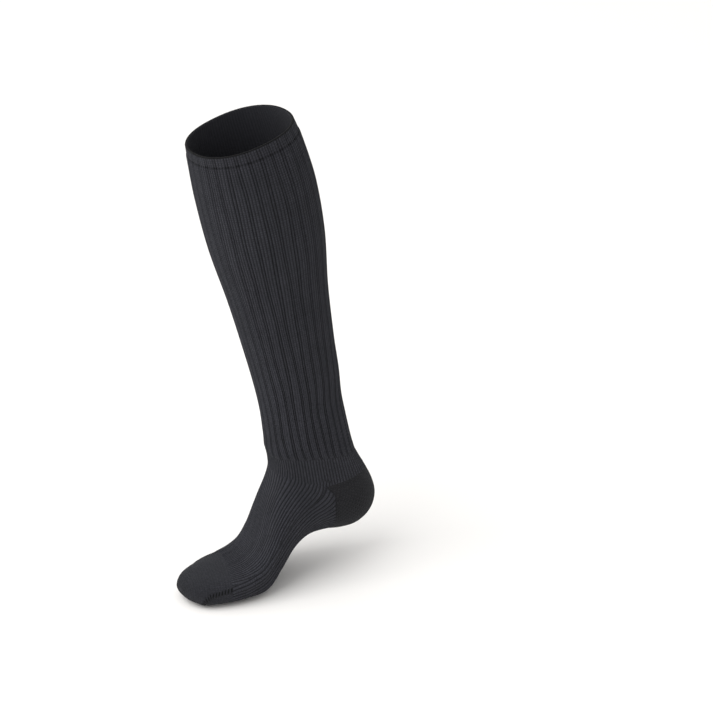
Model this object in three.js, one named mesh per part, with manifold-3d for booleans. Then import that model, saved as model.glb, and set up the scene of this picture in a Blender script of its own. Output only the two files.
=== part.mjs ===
import * as THREE from 'three';
import { mergeVertices } from 'three/addons/utils/BufferGeometryUtils.js';
import Module from 'manifold-3d';

// A knee-high compression stocking, knitted as one tube and shown as it is worn on a right leg:
// open and hollow, shin leaning forward, heel lifted, toes and ball flat on the ground.
// Millimetres. +X is the inner side of the leg, -Y is where the toes point, +Z is up.
// The origin is the middle of the cuff's opening.

const wasm = await Module();
wasm.setup();

// Driving sizes
const wallThickness = 1.9;       // the knit between two ribs
const broadRibHeight = 1.0;      // how far a rib of the leg stands out of its grooves
const weltRibHeight = 0.5;       // the same in the cuff's welt
const fineRibHeight = 0.5;       // the same for the narrow wales of the foot
const broadRibs = 30;            // ribs all round the leg
const fineRibs = 44;             // wales all round the foot
const plainPoints = 44;          // points all round the plain toe pocket
const seamGap = 0.3;             // gap between two knitted pieces
const welt = 11;                 // height of the cuff's welt
const toePocket = 51;            // length of the toe pocket, from its tip
const squareness = 2.25;         // 2 makes an elliptic section, more a squarer one
const shinLean = THREE.MathUtils.degToRad(9.3);   // forwards
const sideLean = THREE.MathUtils.degToRad(3.4);   // to the outer side
const ankle = { fore: -85, high: 104, up: 48 };   // where the shin's line starts, and its first section

// Sections of the foot, each flat and square to the middle plane of the sock.
// fore: in front of the ball of the foot. high: over the ground. top is on the instep,
// sole is underneath or at the back of the heel. inner and outer are half widths, mid shifts
// them inwards, ridge shifts the top alone, skew leads the inner side, arch lifts its sole.
const footTable = [
  ['topFore', 'topHigh', 'soleFore', 'soleHigh', 'inner', 'outer', 'mid', 'ridge', 'skew', 'arch'],
  [54.5, 14.5, 54.5, 12, 4, 4, 8, 0, 0, 0],
  [53, 18, 53.5, 8, 10, 10, 8, 0, 0, 0],
  [49.5, 20.5, 50, 4.5, 16.5, 17, 7, 0, 2, 0],
  [43.5, 22.5, 43.5, 1.5, 23, 25, 6, 1, 5, 0],
  [33, 24.5, 33, -1.5, 30.5, 32, 5, 2, 9, 0],
  [21, 26, 20, -2.5, 36.5, 37, 3, 5, 11, 0],
  [8, 27.5, 7, -2.5, 41, 40.5, 2, 8, 12, 0],
  [-6, 32, -11, -2.5, 44, 42, 1, 11, 10, 0],
  [-17, 41.5, -29.5, -2.5, 43.5, 41, 0, 12, 7, 1],
  [-25, 55.5, -45, 11, 41, 39.5, 0, 11, 5, 5],
  [-31, 70, -60, 24, 38, 37.5, 0, 8, 3, 12],
  [-37, 83, -77, 31.5, 35.5, 35.5, 0, 5, 1, 16],
  [-41.5, 94, -95, 34, 33.5, 34, 0, 4, 0, 12],
  [-44, 102, -112, 33, 32.5, 33, 0, 3, 0, 7],
  [-45.5, 108, -128, 35.5, 32.5, 32.5, 0, 2, 0, 2],
  [-46, 112, -140.5, 42.5, 33, 33, 0, 1, 0, 0],
  [-45.8, 115.5, -148, 52, 33, 33, 0, 0, 0, 0],
  [-45.2, 119, -150.5, 64.5, 33, 33, 0, 0, 0, 0],
  [-44.4, 122.5, -147.5, 78, 32.5, 32.5, 0, 0, 0, 0],
  [-43.7, 126, -141, 92, 32, 32, 0, 0, 0, 0],
  [-43, 130.5, -132.5, 107, 31.5, 31.5, 0, 0, 0, 0],
  [-42.8, 135.5, -126, 121, 31, 31, 0, 0, 0, 0],
];

// Sections of the leg, square to the line of the shin. up: along that line. front, back,
// inner and outer: from that line to the cloth. dip: how far the front is pulled down.
const legTable = [
  ['up', 'front', 'back', 'inner', 'outer', 'dip'],
  [48, 36, 40.5, 30, 30, 0],
  [66, 35, 40.5, 29.5, 29.5, 0],
  [90, 35.2, 42, 33, 33, 0],
  [122, 37.3, 42.5, 37, 37, 0],
  [176, 42.3, 45.5, 43, 43, 0],
  [231, 49.5, 51.5, 50.5, 50.5, 0],
  [282, 52, 52, 52.5, 52.5, 1],
  [323, 51, 47, 50, 50, 6],
  [342, 50, 43, 47.5, 47.5, 10],
];

// Borders between the knitted pieces, drawn on the middle plane as [fore, high].
const apex = [-85, 93.5];                         // where heel, sole, instep and ankle meet
const footBend = [-20, 116];                      // apex to here: ankle over instep
const heelTop = [-170, 99];                       // apex to here: ankle over heel pocket
const soleEdge = [[-94, 83], [-97, 45], [-97, -20]];                // heel pocket behind the sole
const ribEnd = [[-20, 117], [-52, 123.5], [-74, 123], [-119, 116.5], [-170, 107]];   // leg over ankle
const heelFade = 5;                               // way over which the wales fade at the heel pocket
const calfStart = 340;                            // from the toe tip to the middle length of the leg
const upperStart = 442;                           // and to the upper one

// The border between instep and sole runs along both sides of the foot, from the toe pocket to
// the apex. share: how far down the side, as a part of the way round. distance: from the toe tip.
const soleBorder = [
  ['distance', 'share'],
  [42, 0.186],
  [58, 0.168],
  [74, 0.157],
  [92, 0.157],
  [109, 0.167],
  [128, 0.18],
  [151, 0.191],
  [173, 0.196],
  [196, 0.201],
  [216, 0.203],
];

function readTable([names, ...rows]) {
  return rows.map((row) => Object.fromEntries(names.map((name, i) => [name, row[i]])));
}

// A row of the leg becomes the same kind of section as a row of the foot.
function legSection({ up, front, back, inner, outer, dip }) {
  const axisFore = ankle.fore + up * Math.sin(shinLean);
  const axisHigh = ankle.high + up * Math.cos(shinLean);
  return {
    topFore: axisFore + front * Math.cos(shinLean),
    topHigh: axisHigh - front * Math.sin(shinLean) - dip,
    soleFore: axisFore - back * Math.cos(shinLean),
    soleHigh: axisHigh + back * Math.sin(shinLean),
    inner,
    outer,
    mid: (ankle.up - up) * Math.tan(sideLean),
    ridge: 0,
    skew: 0,
    arch: 0,
    roll: sideLean,
  };
}

const footSections = readTable(footTable).map((section) => ({ ...section, roll: 0 }));
const sections = [...footSections, ...readTable(legTable).map(legSection)];
const shinRow = footSections.length;              // the first section square to the shin
const heelRow = 17;                               // this section lies under the end of the ribs
const ankleRow = 21;                              // and this one over it

// Each section's distance from the toe tip, halfway between the instep's way and the sole's.
const distances = [0];
for (let i = 1; i < sections.length; i += 1) {
  const a = sections[i - 1];
  const b = sections[i];
  const overTop = Math.hypot(b.topFore - a.topFore, b.topHigh - a.topHigh);
  const overSole = Math.hypot(b.soleFore - a.soleFore, b.soleHigh - a.soleHigh);
  distances.push(distances[i - 1] + (overTop + overSole) / 2);
}
const sockLength = distances[distances.length - 1];

// A smooth curve through each column of the sections.
function slope(name, i) {
  const before = Math.max(i - 1, 0);
  const after = Math.min(i + 1, sections.length - 1);
  return (sections[after][name] - sections[before][name]) / (distances[after] - distances[before]);
}

function sectionAt(distance) {
  let i = 0;
  while (i < distances.length - 2 && distances[i + 1] < distance) i += 1;
  const span = distances[i + 1] - distances[i];
  const t = (distance - distances[i]) / span;
  const section = {};
  for (const name of Object.keys(sections[i])) {
    const start = sections[i][name];
    const end = sections[i + 1][name];
    section[name] = start * (1 + 2 * t) * (1 - t) ** 2 + end * t * t * (3 - 2 * t)
      + span * (slope(name, i) * t * (1 - t) ** 2 - slope(name, i + 1) * t * t * (1 - t));
  }
  return section;
}

const cuff = sectionAt(sockLength);
const cuffMiddle = {
  fore: (cuff.topFore + cuff.soleFore) / 2,
  side: cuff.mid,
  high: (cuff.topHigh + cuff.soleHigh) / 2,
};
const ground = -cuffMiddle.high;

function place({ fore, side, high }) {
  return new THREE.Vector3(side - cuffMiddle.side, cuffMiddle.fore - fore, high - cuffMiddle.high);
}

// One point of the smooth surface. turn is 0 on the instep and grows over the inner side.
function roundOff(value) {
  return Math.sign(value) * Math.abs(value) ** (2 / squareness);
}

function surfacePoint(distance, turn) {
  const s = sectionAt(distance);
  const along = roundOff(Math.cos(turn));
  const across = roundOff(Math.sin(turn));
  const halfWidth = across > 0 ? s.inner : s.outer;
  const top = (1 + along) / 2;
  const lift = s.arch * across * (1 - top) + s.roll * across * halfWidth;
  return {
    fore: s.soleFore + (s.topFore - s.soleFore) * top + s.skew * across,
    side: s.mid + across * halfWidth + s.ridge * Math.max(along, 0),
    high: s.soleHigh + (s.topHigh - s.soleHigh) * top + lift,
  };
}

function surfaceNormal(distance, turn) {
  const step = 0.5;
  const turnStep = 0.02;
  const near = Math.max(distance - step, 0.01);
  const far = Math.min(distance + step, sockLength);
  const lengthways = place(surfacePoint(far, turn)).sub(place(surfacePoint(near, turn)));
  const round = place(surfacePoint(distance, turn + turnStep))
    .sub(place(surfacePoint(distance, turn - turnStep)));
  return round.cross(lengthways).normalize();
}

// A point moved out of the smooth surface by rise, and never lower than lowest over the ground.
function movedOut(distance, turn, rise, lowest) {
  const point = place(surfacePoint(distance, turn));
  point.addScaledVector(surfaceNormal(distance, turn), rise);
  point.z = Math.max(point.z, ground + lowest);
  return point;
}

// The way round a section, added up over small steps.
function lengthsRound(distance) {
  const steps = 240;
  const lengths = [0];
  let previous = place(surfacePoint(distance, 0));
  for (let i = 1; i <= steps; i += 1) {
    const point = place(surfacePoint(distance, (i / steps) * 2 * Math.PI));
    lengths.push(lengths[i - 1] + point.distanceTo(previous));
    previous = point;
  }
  return lengths;
}

// The turns that lie at given shares of the way round.
function turnsAt(distance, shares) {
  const lengths = lengthsRound(distance);
  const parts = lengths.length - 1;
  return shares.map((share) => {
    const wanted = THREE.MathUtils.euclideanModulo(share, 1) * lengths[parts];
    let i = 0;
    while (i < parts - 1 && lengths[i + 1] < wanted) i += 1;
    const rest = (wanted - lengths[i]) / (lengths[i + 1] - lengths[i]);
    return ((i + rest) / parts) * 2 * Math.PI;
  });
}

// The points across one rib. share: the place within it. rise: 1 on its back, 0 in a groove.
const broadRib = [
  { share: 0, rise: 1 },
  { share: 0.56, rise: 1 },
  { share: 0.66, rise: 0 },
  { share: 0.9, rise: 0 },
];
const fineRib = [
  { share: 0, rise: 1 },
  { share: 0.5, rise: 0 },
];
const plainKnit = [{ share: 0, rise: 0 }];

function ringPlan(rib, count, height) {
  const plan = [];
  for (let k = 0; k < count; k += 1) {
    for (const { share, rise } of rib) {
      plan.push({ share: (k + share) / count, rise: rise * height });
    }
  }
  return plan;
}

// The heel pocket is plain: a wale has its whole height outside it and none inside.
function waleHeight({ fore, high }) {
  const behind = THREE.MathUtils.clamp((soleEdge[0][0] - fore) / heelFade, 0, 1);
  const below = THREE.MathUtils.clamp((heelTop[1] - high) / heelFade, 0, 1);
  return 1 - Math.min(behind, below);
}

// A knitted tube: a ribbed skin outside, and inside a plain one with half as many points.
function knittedTube({ rings, plan, closed = false }) {
  const vertices = [];
  const triangles = [];
  const add = (point) => vertices.push(point.x, point.y, point.z) / 3 - 1;
  const shares = plan.map((part) => part.share);
  const outside = [];
  const inside = [];
  for (const distance of rings) {
    const turns = turnsAt(distance, shares);
    outside.push(turns.map((turn, j) => {
      const rise = plan[j].rise * waleHeight(surfacePoint(distance, turn));
      return add(movedOut(distance, turn, rise, 0));
    }));
    inside.push(turns.filter((turn, j) => j % 2 === 0)
      .map((turn) => add(movedOut(distance, turn, -wallThickness, wallThickness))));
  }
  const count = plan.length;
  const half = count / 2;
  for (let i = 0; i < rings.length - 1; i += 1) {
    for (let j = 0; j < count; j += 1) {
      const next = (j + 1) % count;
      triangles.push(outside[i][j], outside[i][next], outside[i + 1][next]);
      triangles.push(outside[i][j], outside[i + 1][next], outside[i + 1][j]);
    }
    for (let j = 0; j < half; j += 1) {
      const next = (j + 1) % half;
      triangles.push(inside[i][j], inside[i + 1][next], inside[i][next]);
      triangles.push(inside[i][j], inside[i + 1][j], inside[i + 1][next]);
    }
  }
  closeEdge(triangles, outside[rings.length - 1], inside[rings.length - 1], true);
  if (closed) {
    const tip = rings[0];
    const outerTip = movedOut(tip, 0, 0, 0).lerp(movedOut(tip, Math.PI, 0, 0), 0.5);
    const innerTip = outerTip.clone();
    innerTip.y += wallThickness;
    closeTip(triangles, outside[0], add(outerTip), true);
    closeTip(triangles, inside[0], add(innerTip), false);
  } else {
    closeEdge(triangles, outside[0], inside[0], false);
  }
  return toGeometry(vertices, triangles);
}

// The cut edge of the knit, with two outside spans to each inside one.
function closeEdge(triangles, outside, inside, last) {
  const side = (a, b, c) => (last ? triangles.push(a, c, b) : triangles.push(a, b, c));
  inside.forEach((point, j) => {
    const next = inside[(j + 1) % inside.length];
    const start = outside[2 * j];
    const middle = outside[2 * j + 1];
    const end = outside[(2 * j + 2) % outside.length];
    side(point, middle, start);
    side(point, end, middle);
    side(point, next, end);
  });
}

function closeTip(triangles, ring, middle, outwards) {
  ring.forEach((point, j) => {
    const next = ring[(j + 1) % ring.length];
    if (outwards) triangles.push(middle, next, point);
    else triangles.push(middle, point, next);
  });
}

function toGeometry(vertices, triangles) {
  const geometry = new THREE.BufferGeometry();
  geometry.setAttribute('position', new THREE.Float32BufferAttribute(vertices, 3));
  geometry.setIndex(triangles);
  return geometry;
}

function toSolid(geometry) {
  geometry.deleteAttribute('normal');
  geometry.deleteAttribute('uv');
  const merged = mergeVertices(geometry, 1e-4);
  return new wasm.Manifold(new wasm.Mesh({
    numProp: 3,
    vertProperties: new Float32Array(merged.attributes.position.array),
    triVerts: new Uint32Array(merged.index.array),
  }));
}

function fromSolid(solid) {
  const { vertProperties, triVerts } = solid.getMesh();
  return toGeometry(Array.from(vertProperties), Array.from(triVerts));
}

// A thick patch over the top of the foot, from side to side between the borders of the sole.
// wider moves both borders down, in millimetres.
function instepPatch(wider) {
  const steps = 8;
  const height = 3;
  const depth = 4;
  const vertices = [];
  const triangles = [];
  const rows = readTable(soleBorder);
  const [outside, inside] = [height, -depth].map((rise) => rows.map(({ distance, share }) => {
    const border = share + wider / lengthsRound(distance).at(-1);
    return turnsAt(distance, spread(-border, border, steps)).map((turn) => {
      const point = movedOut(distance, turn, rise, -depth);
      return vertices.push(point.x, point.y, point.z) / 3 - 1;
    });
  }));
  for (let i = 0; i < rows.length - 1; i += 1) {
    for (let j = 0; j < steps; j += 1) {
      triangles.push(outside[i][j], outside[i][j + 1], outside[i + 1][j + 1]);
      triangles.push(outside[i][j], outside[i + 1][j + 1], outside[i + 1][j]);
      triangles.push(inside[i][j], inside[i + 1][j + 1], inside[i][j + 1]);
      triangles.push(inside[i][j], inside[i + 1][j], inside[i + 1][j + 1]);
    }
  }
  const rim = (skin) => [
    ...skin[0].slice(0, -1),
    ...skin.slice(0, -1).map((row) => row.at(-1)),
    ...skin.at(-1).toReversed().slice(0, -1),
    ...skin.toReversed().slice(0, -1).map((row) => row[0]),
  ];
  const outerRim = rim(outside);
  const innerRim = rim(inside);
  outerRim.forEach((point, i) => {
    const next = (i + 1) % outerRim.length;
    triangles.push(outerRim[next], point, innerRim[i]);
    triangles.push(outerRim[next], innerRim[i], innerRim[next]);
  });
  return toSolid(toGeometry(vertices, triangles));
}

// A border zone, drawn on the middle plane and pulled in by half a seam's gap, as a thick plate.
function zonePlate(points) {
  const outline = points.map(([fore, high]) => new THREE.Vector2(-fore, high));
  if (!THREE.ShapeUtils.isClockWise(outline)) outline.reverse();
  const pulledIn = outline.map((point, i) => {
    const before = outline[(i + outline.length - 1) % outline.length];
    const after = outline[(i + 1) % outline.length];
    const arriving = point.clone().sub(before).normalize();
    const leaving = after.clone().sub(point).normalize();
    const inwards = new THREE.Vector2(arriving.y + leaving.y, -arriving.x - leaving.x).normalize();
    const cosine = inwards.x * arriving.y - inwards.y * arriving.x;
    return point.clone().addScaledVector(inwards, seamGap / 2 / cosine);
  });
  const depth = 240;
  const plate = new THREE.ExtrudeGeometry(new THREE.Shape(pulledIn), { depth, bevelEnabled: false });
  const stand = new THREE.Matrix4().makeBasis(
    new THREE.Vector3(0, 1, 0),
    new THREE.Vector3(0, 0, 1),
    new THREE.Vector3(1, 0, 0),
  );
  plate.applyMatrix4(stand);
  plate.translate(-depth / 2, cuffMiddle.fore, -cuffMiddle.high);
  return toSolid(plate);
}

function spread(from, to, steps) {
  return Array.from({ length: steps + 1 }, (_, i) => from + ((to - from) * i) / steps);
}

const group = new THREE.Group();
const knitColour = new THREE.Color(0.062, 0.064, 0.072);

function addPiece(name, geometry) {
  const material = new THREE.MeshStandardMaterial({ color: knitColour, roughness: 0.95, metalness: 0 });
  const mesh = new THREE.Mesh(geometry, material);
  mesh.name = name;
  group.add(mesh);
}

// Toe pocket: plain knit, closed round the toes.
const toeRings = [0, 3, 7.5, 14, 22, 31, 41, toePocket - seamGap / 2];
addPiece('toe_pocket', knittedTube({ rings: toeRings, plan: ringPlan(plainKnit, plainPoints, 0), closed: true }));

// Foot and ankle: one fine-ribbed tube, parted along the borders that show on the real knit.
const footRings = spread(toePocket + seamGap / 2, distances[ankleRow], 22);
const footTube = toSolid(knittedTube({ rings: footRings, plan: ringPlan(fineRib, fineRibs, fineRibHeight) }));
const heelPocket = zonePlate([apex, heelTop, [-170, -20], ...soleEdge.toReversed()]);
const ankleBand = zonePlate([apex, footBend, ...ribEnd, heelTop]);
const foot = footTube.intersect(zonePlate([apex, ...soleEdge, [60, -20], [60, 116], footBend]));
addPiece('instep', fromSolid(foot.intersect(instepPatch(-seamGap / 2))));
addPiece('sole', fromSolid(foot.subtract(instepPatch(seamGap / 2))));
addPiece('heel_pocket', fromSolid(footTube.intersect(heelPocket)));
addPiece('ankle', fromSolid(footTube.intersect(ankleBand)));

// Leg: broad ribs from the ankle to the cuff, in three lengths that grip less and less upwards.
const weltStart = sockLength - welt;
const legPlan = ringPlan(broadRib, broadRibs, broadRibHeight);
const lowRings = [
  ...spread(distances[heelRow], distances[shinRow], 6),
  ...spread(distances[shinRow], calfStart - seamGap / 2, 3).slice(1),
];
const lowTube = toSolid(knittedTube({ rings: lowRings, plan: legPlan }));
const aboveRibEnd = zonePlate([[150, 117], ...ribEnd, [-170, 600], [150, 600]]);
addPiece('leg_low', fromSolid(lowTube.intersect(aboveRibEnd)));
addPiece('leg_calf', knittedTube({
  rings: spread(calfStart + seamGap / 2, upperStart - seamGap / 2, 3),
  plan: legPlan,
}));
addPiece('leg_upper', knittedTube({
  rings: spread(upperStart + seamGap / 2, weltStart - seamGap / 2, 3),
  plan: legPlan,
}));

// Welt: the doubled edge of the cuff, with lower ribs.
addPiece('cuff_welt', knittedTube({
  rings: spread(weltStart + seamGap / 2, sockLength, 2),
  plan: ringPlan(broadRib, broadRibs, weltRibHeight),
}));

export default group;
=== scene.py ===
# %% [markdown]
# # A knee-high compression stocking
# The real stocking is one tube of knitted yarn, worn on a right leg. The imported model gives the
# frame: its solids say where the cloth is. This script dresses them with one continuous knit
# that is fine enough to show the ribs, then lights it and places the camera.

import math

import bpy
import numpy as np
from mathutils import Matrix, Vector


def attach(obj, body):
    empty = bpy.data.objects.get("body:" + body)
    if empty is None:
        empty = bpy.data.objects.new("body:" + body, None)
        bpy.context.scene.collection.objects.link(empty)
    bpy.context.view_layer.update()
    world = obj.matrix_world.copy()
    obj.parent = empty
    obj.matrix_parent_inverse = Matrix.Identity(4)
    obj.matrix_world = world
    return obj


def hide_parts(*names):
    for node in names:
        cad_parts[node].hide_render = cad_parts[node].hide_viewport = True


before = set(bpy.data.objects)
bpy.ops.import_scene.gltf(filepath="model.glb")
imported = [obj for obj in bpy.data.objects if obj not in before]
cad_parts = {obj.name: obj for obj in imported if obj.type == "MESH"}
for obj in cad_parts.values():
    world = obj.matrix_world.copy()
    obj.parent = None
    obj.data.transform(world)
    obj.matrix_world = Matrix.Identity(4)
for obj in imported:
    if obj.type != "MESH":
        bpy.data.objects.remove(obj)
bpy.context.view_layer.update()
print("solids:", ", ".join(sorted(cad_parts)))

# %% [markdown]
# ## The form
# A worn stocking has the form of a bent, tapering tube. It could be modelled by pulling vertices,
# or by wrapping cloth round a body. Here it is written down as a row of flat sections from the
# toes to the cuff, because a knit is made in rounds too: every round of stitches then lies on one
# section, and every wale, the column of stitches, runs along the tube by itself.

# %% Sizes of the knit, in millimetres
MM = 1 / 1000           # the mesh itself is in metres
WALL = 1.9              # the knit between two ribs
RIB_HEIGHT = 1.0        # a rib of the leg, over its grooves
WELT_RIB_HEIGHT = 0.5   # the same in the welt
FOOT_RISE = 0.35        # middle height of the foot's knit
FINE_WALE = 0.4         # a wale of the foot, from its groove to its crown
WELT = 11.0             # the cuff's welt
TOE_POCKET = 51.0       # the plain toe pocket, from its tip
RIBS = 30               # ribs round the leg
LEG_WALES = 4 * RIBS    # three wales on a rib and one between two ribs
INSTEP_WALES, SOLE_WALES, ANKLE_WALES = 80, 66, 92     # counted once round
print(f"{RIBS} ribs and {LEG_WALES} wales round the leg")

# %% Sections of the foot, from the toe tip to over the ankle
# Each row holds how far fore and how high the top and the sole are, and the half widths to both
# sides. Then middle moves the section to the inner side, ridge moves only its top there, skew
# moves its inner side forward, and arch lifts the inner side of its sole.
# top fore, top high, sole fore, sole high, inner, outer, middle, ridge, skew, arch
FOOT = np.array([
    (54.5, 14.5, 54.5, 12, 4, 4, 8, 0, 0, 0),
    (53, 18, 53.5, 8, 10, 10, 8, 0, 0, 0),
    (49.5, 20.5, 50, 4.5, 16.5, 17, 7, 0, 2, 0),
    (43.5, 22.5, 43.5, 1.5, 23, 25, 6, 1, 5, 0),
    (33, 24.5, 33, -1.5, 30.5, 32, 5, 2, 9, 0),
    (21, 26, 20, -2.5, 36.5, 37, 3, 5, 11, 0),
    (8, 27.5, 7, -2.5, 41, 40.5, 2, 8, 12, 0),
    (-6, 32, -11, -2.5, 44, 42, 1, 11, 10, 0),
    (-17, 41.5, -29.5, -2.5, 43.5, 41, 0, 12, 7, 1),
    (-25, 55.5, -45, 11, 41, 39.5, 0, 11, 5, 5),
    (-31, 70, -60, 24, 38, 37.5, 0, 8, 3, 12),
    (-37, 83, -77, 31.5, 35.5, 35.5, 0, 5, 1, 16),
    (-41.5, 94, -95, 34, 33.5, 34, 0, 4, 0, 12),
    (-44, 102, -112, 33, 32.5, 33, 0, 3, 0, 7),
    (-45.5, 108, -128, 35.5, 32.5, 32.5, 0, 2, 0, 2),
    (-46, 112, -140.5, 42.5, 33, 33, 0, 1, 0, 0),
    (-45.8, 115.5, -148, 52, 33, 33, 0, 0, 0, 0),
    (-45.2, 119, -150.5, 64.5, 33, 33, 0, 0, 0, 0),
    (-44.4, 122.5, -147.5, 78, 32.5, 32.5, 0, 0, 0, 0),
    (-43.7, 126, -141, 92, 32, 32, 0, 0, 0, 0),
    (-43, 130.5, -132.5, 107, 31.5, 31.5, 0, 0, 0, 0),
    (-42.8, 135.5, -126, 121, 31, 31, 0, 0, 0, 0),
], dtype=float)
print(len(FOOT), "sections in the foot")

# %% Sections of the leg, square to the line of the shin
SHIN_LEAN = math.radians(9.3)           # forward, going up
SIDE_LEAN = math.radians(3.4)           # to the outer side, going up
SHIN_FORE, SHIN_HIGH = -85.0, 104.0     # where the line starts, inside the ankle
LEG_START = 48.0                        # how far up the line the leg's sections start
# up, front, back, inner, outer, dip of the front
LEG = np.array([
    (LEG_START, 36, 40.5, 30, 30, 0),
    (66, 35, 40.5, 29.5, 29.5, 0),
    (90, 35.2, 42, 33, 33, 0),
    (122, 37.3, 42.5, 37, 37, 0),
    (176, 42.3, 45.5, 43, 43, 0),
    (231, 49.5, 51.5, 50.5, 50.5, 0),
    (282, 52, 52, 52.5, 52.5, 1),
    (323, 51, 47, 50, 50, 6),
    (342, 50, 43, 47.5, 47.5, 10),
], dtype=float)
TOP_FORE, TOP_HIGH, SOLE_FORE, SOLE_HIGH, INNER, OUTER, MIDDLE, RIDGE, SKEW, ARCH, ROLL = range(11)


def leg_section(up, front, back, inner, outer, dip):
    """A section of the leg in the same columns as one of the foot, and its roll sideways."""
    fore = SHIN_FORE + up * math.sin(SHIN_LEAN)
    high = SHIN_HIGH + up * math.cos(SHIN_LEAN)
    return (
        fore + front * math.cos(SHIN_LEAN),
        high - front * math.sin(SHIN_LEAN) - dip,
        fore - back * math.cos(SHIN_LEAN),
        high + back * math.sin(SHIN_LEAN),
        inner, outer, (LEG_START - up) * math.tan(SIDE_LEAN), 0, 0, 0, SIDE_LEAN,
    )


sections = np.vstack([
    np.hstack([FOOT, np.zeros((len(FOOT), 1))]),
    np.array([leg_section(*row) for row in LEG]),
])
steps = np.diff(sections, axis=0)
way = (np.hypot(steps[:, 0], steps[:, 1]) + np.hypot(steps[:, 2], steps[:, 3])) / 2
stations = np.concatenate([[0], np.cumsum(way)])
LENGTH = stations[-1]
print(f"{len(sections)} sections over {LENGTH:.0f} mm")

# %% A smooth curve through each column of the sections
slopes = np.empty_like(sections)
slopes[1:-1] = (sections[2:] - sections[:-2]) / (stations[2:] - stations[:-2])[:, None]
slopes[0] = (sections[1] - sections[0]) / (stations[1] - stations[0])
slopes[-1] = (sections[-1] - sections[-2]) / (stations[-1] - stations[-2])


def section_at(distance):
    """The section at a distance from the toe tip."""
    i = int(np.clip(np.searchsorted(stations, distance) - 1, 0, len(stations) - 2))
    span = stations[i + 1] - stations[i]
    t = (distance - stations[i]) / span
    ends = sections[i] * (1 + 2 * t) * (1 - t) ** 2 + sections[i + 1] * t * t * (3 - 2 * t)
    return ends + span * (slopes[i] * t * (1 - t) ** 2 - slopes[i + 1] * t * t * (1 - t))


cuff = section_at(LENGTH)
CUFF_FORE = (cuff[TOP_FORE] + cuff[SOLE_FORE]) / 2
CUFF_HIGH = (cuff[TOP_HIGH] + cuff[SOLE_HIGH]) / 2
CUFF_SIDE = cuff[MIDDLE]
print(f"the cuff's middle is {CUFF_HIGH:.0f} mm over the floor")

# %% Points of the smooth surface
SQUARENESS = 2.25       # 2 makes an elliptic section


def rounded(value):
    return np.sign(value) * np.abs(value) ** (2 / SQUARENESS)


def surface(distance, turn):
    """Fore, side and high of the cloth. turn is 0 on the instep and grows over the inner side."""
    s = section_at(distance)
    along, across = rounded(np.cos(turn)), rounded(np.sin(turn))
    half_width = np.where(across > 0, s[INNER], s[OUTER])
    top = (1 + along) / 2
    lift = s[ARCH] * across * (1 - top) + s[ROLL] * across * half_width
    fore = s[SOLE_FORE] + (s[TOP_FORE] - s[SOLE_FORE]) * top + s[SKEW] * across
    side = s[MIDDLE] + across * half_width + s[RIDGE] * np.maximum(along, 0)
    high = s[SOLE_HIGH] + (s[TOP_HIGH] - s[SOLE_HIGH]) * top + lift
    return np.stack([fore, side, high], axis=-1)


def in_frame(point):
    """Fore, side and high become x, y and z of the frame, still in millimetres."""
    return np.stack([
        point[..., 1] - CUFF_SIDE, CUFF_FORE - point[..., 0], point[..., 2] - CUFF_HIGH,
    ], axis=-1)


print("the toe tip is at", in_frame(surface(0.0, 0.0)).round(1), "mm")

# %% Points over the surface, and even shares of the way round it
STEP_ALONG, STEP_ROUND = 0.5, 0.02      # millimetres and radians, to find a normal
TURN_POINTS = 361                       # points that measure the way round a section


def moved_out(distance, turn, rise, lowest):
    """Points moved out of the surface, and never lower than lowest over the floor."""
    near, far = max(distance - STEP_ALONG, 0.01), min(distance + STEP_ALONG, LENGTH)
    lengthways = in_frame(surface(far, turn)) - in_frame(surface(near, turn))
    roundwise = (in_frame(surface(distance, turn + STEP_ROUND))
                 - in_frame(surface(distance, turn - STEP_ROUND)))
    normal = np.cross(roundwise, lengthways)
    normal /= np.linalg.norm(normal, axis=-1, keepdims=True)
    point = in_frame(surface(distance, turn)) + normal * np.asarray(rise)[..., None]
    point[..., 2] = np.maximum(point[..., 2], lowest - CUFF_HIGH)
    return point


def turns_at(distance, share):
    """The turns that lie at these shares of the way round a section, and its girth."""
    turn = np.linspace(0, 2 * math.pi, TURN_POINTS)
    line = in_frame(surface(distance, turn))
    lengths = np.concatenate([[0], np.cumsum(np.linalg.norm(np.diff(line, axis=0), axis=1))])
    return np.interp(np.asarray(share) * lengths[-1], lengths, turn), lengths[-1]


for distance in (100, 230, 480, LENGTH):
    print(f"girth at {distance:.0f} mm: {turns_at(distance, [0])[1]:.0f} mm")

# %% [markdown]
# ## Where one knit changes to another
# The leg is ribbed, the foot has narrow wales, the heel and the toes are plain pockets. On the
# real stocking these areas meet along lines that the machine knits. They could be cut apart as
# meshes, but then every seam would have to match. Instead each vertex keeps a number: how far
# inside an area it lies, in millimetres. The material turns these numbers into crisp borders.

# %% Borders of the areas
# drawn on the middle plane as fore and high
APEX, BEND_TOP = (-85.0, 93.5), (-20, 116)      # the foot's bend, from the heel to the instep
HEEL_TOP = np.array([(-170, 99), APEX])
RIB_END = np.array([(-170, 107), (-119, 116.5), (-74, 123), (-52, 123.5), (-20, 117)])
# drawn on the middle plane as high and fore
HEEL_EDGE = np.array([(-20, -97), (45, -97), (83, -94), (93.5, -85)])
# drawn on the tube as distance from the toe tip and share of the way round
SOLE_BORDER = np.array([
    (42, 0.186), (58, 0.168), (74, 0.157), (92, 0.157), (109, 0.167),
    (128, 0.18), (151, 0.191), (173, 0.196), (196, 0.201), (216, 0.203),
])


def on_line(line, place):
    """The second number of a border where the first one is place."""
    return np.interp(place, line[:, 0], line[:, 1])


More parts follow.
